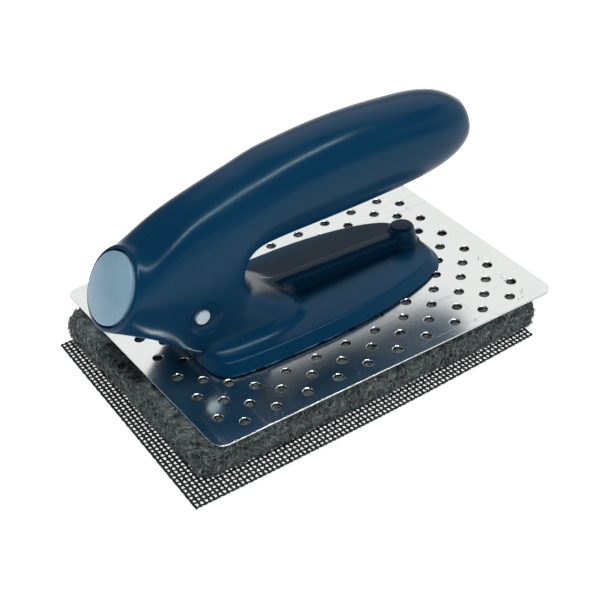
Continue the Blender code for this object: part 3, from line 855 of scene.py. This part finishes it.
def tooth_places():
    """Centres of the teeth: every second row is shifted by one pitch."""
    places = []
    for row in range(TOOTH_ROWS):
        for column in range((row + 1) % 2, TOOTH_COLUMNS, 2):
            places.append((
                TOOTH_GRID_CENTRE[0] + (column - (TOOTH_COLUMNS - 1) / 2) * TOOTH_PITCH[0],
                TOOTH_GRID_CENTRE[1] + (row - (TOOTH_ROWS - 1) / 2) * TOOTH_PITCH[1],
            ))
    return places


def rounded_rectangle(low, high, corner, steps, inset=0.0):
    """Points of a rectangle with round corners, counter-clockwise, drawn in from its edge."""
    points = []
    spots = ((high[0], high[1], -1, -1), (low[0], high[1], 1, -1),
             (low[0], low[1], 1, 1), (high[0], low[1], -1, 1))
    for quarter, (x, y, sx, sy) in enumerate(spots):
        points += arc((x + sx * corner, y + sy * corner), corner - inset, 90.0 * quarter,
                      90.0 * (quarter + 1), steps)
    return points


def make_plate(look):
    """Sheet with a round dimple punched at each place, which stands out below as a tooth."""
    low, high = in_tool(PLATE_LOW), in_tool(PLATE_HIGH)
    sides = 28
    shape = bmesh.new()
    normals = {}

    def ring_at(points, z, normal_of):
        ring = [shape.verts.new((x, y, z)) for x, y in points]
        for vert, (x, y) in zip(ring, points):
            normals[vert] = normal_of(x, y)
        return ring

    def face_with_punches(z, facing, outline, profile):
        """A flat face at height z, with the turned profile hung in each punched place."""
        rims = []
        for cx, cy in tooth_places():
            inner = None
            for index, (radius, depth) in enumerate(profile[:-1]):
                circle = [(cx + radius * math.cos(math.tau * k / sides),
                           cy + radius * math.sin(math.tau * k / sides)) for k in range(sides)]
                before = profile[max(index - 1, 0)]
                after = profile[index + 1]
                slope = Vector((before[1] - after[1], before[0] - after[0])).normalized()
                tilt, rise = (0.0, 1.0) if index == 0 else (-slope.x, slope.y)

                def lean(x, y, cx=cx, cy=cy, radius=radius, tilt=tilt, rise=rise):
                    return facing * Vector(((x - cx) / radius * tilt, (y - cy) / radius * tilt, rise))

                ring = ring_at(circle, z + depth, lean)
                if inner is None:
                    rims.append(ring)
                else:
                    skin(shape, inner, ring)
                inner = ring
            tip = shape.verts.new((cx, cy, z + profile[-1][1]))
            normals[tip] = Vector((0.0, 0.0, facing))
            for k in range(sides):
                shape.faces.new((inner[k], inner[(k + 1) % sides], tip))
        edges = []
        for loop in [outline, *rims]:
            for k in range(len(loop)):
                pair = (loop[k], loop[(k + 1) % len(loop)])
                edges.append(shape.edges.get(pair) or shape.edges.new(pair))
        bmesh.ops.triangle_fill(shape, use_beauty=False, use_dissolve=False, edges=edges)

    def outward(points):
        """Normal of the outline at each of its points, in the plane."""
        found = {}
        for k, point in enumerate(points):
            before, after = points[k - 1], points[(k + 1) % len(points)]
            found[point] = Vector((after[1] - before[1], before[0] - after[0])).normalized()
        return found

    rings = []
    steps = [(0.0, PLATE_EDGE, 1.0)]
    steps += [(PLATE_EDGE * (1.0 - math.cos(a)), PLATE_EDGE * (1.0 - math.sin(a)), math.cos(a))
              for a in (math.radians(30), math.radians(60), math.radians(90))]
    levels = [(-drop, inset, rise) for drop, inset, rise in steps]
    levels += [(-PLATE_THICK + drop, inset, -rise) for drop, inset, rise in reversed(steps)]
    for z, inset, rise in levels:
        outline = rounded_rectangle(low, high, PLATE_CORNER, 10, inset)
        facing = outward(outline)
        flat = math.sqrt(max(0.0, 1.0 - rise * rise))
        rings.append(ring_at(outline, z, lambda x, y, f=facing, r=rise, s=flat:
                             Vector((f[(x, y)].x * s, f[(x, y)].y * s, r))))
    for a, b in zip(rings, rings[1:]):
        skin(shape, a, b)
    face_with_punches(0.0, 1.0, rings[0], DIMPLE)
    face_with_punches(-PLATE_THICK, -1.0, rings[-1], TOOTH)
    shape.verts.index_update()
    bmesh.ops.recalc_face_normals(shape, faces=shape.faces)
    order = [normals[v][:] for v in shape.verts]
    mesh = bpy.data.meshes.new("steel_plate")
    shape.to_mesh(mesh)
    shape.free()
    made = piece("steel_plate", mesh, "holder", look, ["holder_plate"])
    made.data.normals_split_custom_set_from_vertices(order)
    return made


# ---------------------------------------------------------------- pad and its fibres

PAD_CORNER, PAD_EDGE, PAD_WAIST = 5.5, 2.8, 0.25
PAD_SPACING, PAD_OUTLINE = 1.6, 460.0     # steps along the outline, and about its length
WORN_REACH, WORN_DEPTH = 26.0, 3.2        # the corner that use has worn back
LUMP_FLAT, LUMP_SIDE = 0.12, 0.45         # lumps on the faces, and what the sides have more
LUMP_SCALES = ((14.0, 0.40), (5.5, 0.40), (2.4, 0.45))    # wavelength, share
WAVES_EACH, WAVE_DIVISOR = 6, 2.4
PAD_SEED, SCREEN_SEED = 7, 11


def make_pad(core, dark, pale):
    """A lumpy nonwoven block with a coat of crimped fibres."""
    low, high = in_tool(PAD_LOW), in_tool(PAD_HIGH)
    top = -PLATE_THICK - 0.15
    bottom = low.z
    rng = np.random.default_rng(PAD_SEED)
    edge, steps = PAD_EDGE, 6
    rings = []
    profile = [(bottom + edge * (1 - math.cos(a)), edge * (1 - math.sin(a)))
               for a in np.linspace(0.0, math.pi / 2, steps)]
    profile += [(bottom + edge + (top - bottom - 2 * edge) * t, -PAD_WAIST * math.sin(math.pi * t))
                for t in (0.2, 0.4, 0.6, 0.8)]
    profile += [(top - edge * (1 - math.cos(a)), edge * (1 - math.sin(a)))
                for a in np.linspace(math.pi / 2, 0.0, steps)]
    for z, inset in profile:
        outline = resampled(rounded_rectangle(low, high, PAD_CORNER, 8, inset))
        rings.append([(x, y, z) for x, y in outline])
    shape = loft(rings)
    caps = [face for face in shape.faces if len(face.verts) > 4]
    for face in caps:
        rim = list(face.verts)
        z = rim[0].co.z
        centre = Vector(((low.x + high.x) / 2, (low.y + high.y) / 2, z))
        shape.faces.remove(face)
        outer = rim
        for share in np.linspace(0.93, 0.12, 26):
            inner = [shape.verts.new(centre + (v.co - centre) * share) for v in rim]
            skin(shape, outer, inner)
            outer = inner
        shape.faces.new(outer)
    bmesh.ops.recalc_face_normals(shape, faces=shape.faces)
    shape.normal_update()
    lumps = lump_field(np.array([v.co for v in shape.verts]), rng)
    worn = Vector((low.x, high.y, 0.0))
    for vert, lump in zip(shape.verts, lumps):
        side = math.hypot(vert.normal.x, vert.normal.y)
        near = max(0.0, 1.0 - (vert.co.xy - worn.xy).length / WORN_REACH)
        vert.co += vert.normal * float(lump) * (LUMP_FLAT + LUMP_SIDE * side)
        vert.co.y -= WORN_DEPTH * near * near * (3.0 - 2.0 * near)
        vert.co.z = min(max(vert.co.z, bottom), top)
    bmesh.ops.triangulate(shape, faces=[f for f in shape.faces if len(f.verts) > 4])
    mesh = bpy.data.meshes.new("scouring_pad")
    shape.to_mesh(mesh)
    shape.free()
    triangles = triangles_of(mesh)
    pad = piece("scouring_pad", mesh, "pad", core, ["abrasive_pad"])
    share = 1.0
    for name, look, number, length, radius in (("pad_fibres_dark", dark, 26000, 4.2, 0.10),
                                               ("pad_fibres_pale", pale, 9000, 3.4, 0.075)):
        coat = fibres(triangles, int(number * share), length, radius, rng)
        made = mesh_from(name, *coat)
        piece(name, made, "pad", look)
    return pad


def resampled(outline):
    """Points at even steps along a closed outline; their number doesn't depend on the inset."""
    points = np.array([*outline, outline[0]])
    lengths = np.concatenate([[0.0], np.cumsum(np.linalg.norm(np.diff(points, axis=0), axis=1))])
    count = int(round(PAD_OUTLINE / PAD_SPACING))
    at = np.linspace(0.0, lengths[-1], count, endpoint=False)
    return np.column_stack([np.interp(at, lengths, points[:, k]) for k in (0, 1)])


def lump_field(points, rng):
    """Smooth random bumps, about -1 to 1, from a sum of waves at several scales."""
    total = np.zeros(len(points))
    for scale, share in LUMP_SCALES:
        for _ in range(WAVES_EACH):
            direction = rng.normal(size=3)
            direction /= np.linalg.norm(direction)
            total += share / WAVE_DIVISOR * np.sin(points @ direction * math.tau / scale
                                          + rng.uniform(0, math.tau))
    return total


def triangles_of(mesh):
    """Corner points and area of each triangle of a mesh."""
    mesh.calc_loop_triangles()
    index = np.empty(len(mesh.loop_triangles) * 3, np.int64)
    mesh.loop_triangles.foreach_get("vertices", index)
    return points_of(mesh)[index.reshape(-1, 3)]


def fibres(triangles, number, length, radius, rng):
    """Short curved fibres laid over a surface, as three-sided tubes in one mesh."""
    a, b, c = triangles[:, 0], triangles[:, 1], triangles[:, 2]
    cross = np.cross(b - a, c - a)
    area = np.linalg.norm(cross, axis=1)
    normal = cross / np.maximum(area, 1e-9)[:, None]
    on_side = 1.0 + 1.6 * (np.abs(normal[:, 2]) < 0.9)
    chance = area * on_side
    pick = rng.choice(len(a), number, p=chance / chance.sum())
    u, v = rng.random((2, number))
    flip = u + v > 1
    u[flip], v[flip] = 1 - u[flip], 1 - v[flip]
    start = a[pick] + u[:, None] * (b - a)[pick] + v[:, None] * (c - a)[pick]
    n = normal[pick]
    heading = np.cross(n, rng.normal(size=(number, 3)))
    heading /= np.linalg.norm(heading, axis=1)[:, None]
    side = np.cross(n, heading)
    bend = rng.normal(0.0, 0.35, number)
    lift = rng.uniform(-0.06, 0.16, number)
    long = length * rng.uniform(0.45, 1.25, number)
    knots = 5
    path = np.empty((number, knots, 3))
    for k in range(knots):
        t = k / (knots - 1) - 0.5
        arch = lift * (1.0 - 4.0 * t * t) * 2.0 - 0.10
        path[:, k] = (start + heading * (t * long)[:, None]
                      + side * (bend * long * (t * t - 0.1))[:, None] + n * arch[:, None])
    thick = radius * rng.uniform(0.6, 1.3, number)
    rings = []
    for angle in (0.0, math.tau / 3, 2 * math.tau / 3):
        offset = side * math.cos(angle) + n * math.sin(angle)
        rings.append(path + (offset * thick[:, None])[:, None, :])
    points = np.stack(rings, axis=2).reshape(-1, 3)
    base = (np.arange(number) * knots * 3)[:, None]
    quads = []
    for k in range(knots - 1):
        for s in range(3):
            t = (s + 1) % 3
            quads.append(base + [[k * 3 + s, k * 3 + t, (k + 1) * 3 + t, (k + 1) * 3 + s]])
    quads = np.concatenate(quads, axis=0)
    return points, quads


# ---------------------------------------------------------------- woven screen

MESH_PITCH = (1.65, 1.88)
THREAD_WIDE, THREAD_THICK = 0.46, 0.22           # half sizes of the yarn's oval section
THREAD_RISE, THREAD_WANDER, THREAD_END = 0.19, 0.05, 0.18     # the end is a share of a pitch
SCREEN_SKEW = (0.036, 0.026)                     # X per Y, Y per X
EDGE_BOW = 1.2                                   # the near edge bulges out by this
SCREEN_FLAT = (135.6, 101.4)                     # cut size


def make_screen(look):
    """Two sets of yarns that pass over and under each other, coated into an open mesh."""
    low, high = in_tool(SCREEN_LOW), in_tool(SCREEN_HIGH)
    centre = (np.array(low) + np.array(high)) / 2
    wide = (high.x - low.x) - SCREEN_SKEW[0] * SCREEN_FLAT[1] - 2 * THREAD_WIDE
    deep = (high.y - low.y) - SCREEN_SKEW[1] * SCREEN_FLAT[0] - 2 * THREAD_WIDE
    rng = np.random.default_rng(SCREEN_SEED)
    counts = int(round(wide / MESH_PITCH[0])), int(round(deep / MESH_PITCH[1]))
    sides, per_cell = ((6, 4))
    parts_points, parts_faces, used = [], [], 0
    for direction in (0, 1):
        cells, threads = counts[direction], counts[1 - direction] + 1
        along, apart = MESH_PITCH[direction], MESH_PITCH[1 - direction]
        steps = cells * per_cell + 1
        run = np.linspace(-cells / 2 - THREAD_END, cells / 2 + THREAD_END, steps) * along
        angle = np.arange(sides) * math.tau / sides
        for thread in range(threads):
            sideways = (thread - (threads - 1) / 2) * apart
            phase = 1.0 if (thread + direction) % 2 else -1.0
            wave = phase * THREAD_RISE * np.cos(math.pi * (run / along + cells / 2))
            wander = THREAD_WANDER * np.sin(run * rng.uniform(0.05, 0.2) + rng.uniform(0, math.tau))
            thick = 1.0 + 0.10 * np.sin(run * rng.uniform(1.1, 2.3) + rng.uniform(0, math.tau))
            line = np.stack([run, sideways + wander, wave], axis=1)
            ring = np.empty((steps, sides, 3))
            ring[:, :, 0] = line[:, None, 0]
            ring[:, :, 1] = line[:, None, 1] + THREAD_WIDE * np.outer(thick, np.cos(angle))
            ring[:, :, 2] = line[:, None, 2] + THREAD_THICK * np.outer(thick, np.sin(angle))
            points = ring.reshape(-1, 3)
            if direction == 1:
                points = points[:, [1, 0, 2]]
            ends = points[:sides].mean(0), points[-sides:].mean(0)
            k, s = np.meshgrid(np.arange(steps - 1), np.arange(sides), indexing="ij")
            t = (s + 1) % sides
            quads = np.stack([k * sides + s, k * sides + t, (k + 1) * sides + t,
                              (k + 1) * sides + s], axis=-1).reshape(-1, 4)
            first, last = steps * sides, steps * sides + 1
            for end, start in ((first, 0), (last, (steps - 1) * sides)):
                for j in range(0, sides, 2):
                    quads = np.vstack([quads, [end, start + j, start + (j + 1) % sides,
                                               start + (j + 2) % sides]])
            parts_points.append(np.vstack([points, ends]))
            parts_faces.append(quads + used)
            used += len(points) + 2
    points = np.vstack(parts_points)
    skewed = points.copy()
    skewed[:, 0] += points[:, 1] * SCREEN_SKEW[0]
    skewed[:, 1] += points[:, 0] * SCREEN_SKEW[1]
    near = np.clip(-points[:, 1] / (deep / 2), 0.0, 1.0)
    skewed[:, 1] -= EDGE_BOW * np.cos(points[:, 0] / wide * math.pi) * near
    skewed += centre
    skewed[:, 2] += 0.5 * THREAD_THICK - 0.08
    mesh = mesh_from("mesh_screen", skewed, np.vstack(parts_faces))
    shape = bmesh.new()
    shape.from_mesh(mesh)
    bmesh.ops.recalc_face_normals(shape, faces=shape.faces)
    shape.to_mesh(mesh)
    shape.free()
    screen = piece("mesh_screen", mesh, "screen", look, ["abrasive_screen"])
    return screen


# ---------------------------------------------------------------- the object

make_camera()
make_stage()
make_grip(blue_plastic())
make_plug(pale_plastic("plug_plastic", (0.16, 0.30, 0.40), (0.21, 0.36, 0.47), 0.34))
make_pin(pale_plastic("pin_metal", (0.52, 0.64, 0.72), (0.66, 0.78, 0.84), 0.3))
make_plate(bright_steel())
make_screws(zinc_steel())
make_pad(pad_core(), pad_fibre("fibre_dark", (0.014, 0.021, 0.021), (0.25, 0.31, 0.30)),
         pad_fibre("fibre_pale", (0.16, 0.20, 0.195), (0.70, 0.78, 0.76)))
make_screen(screen_grit())
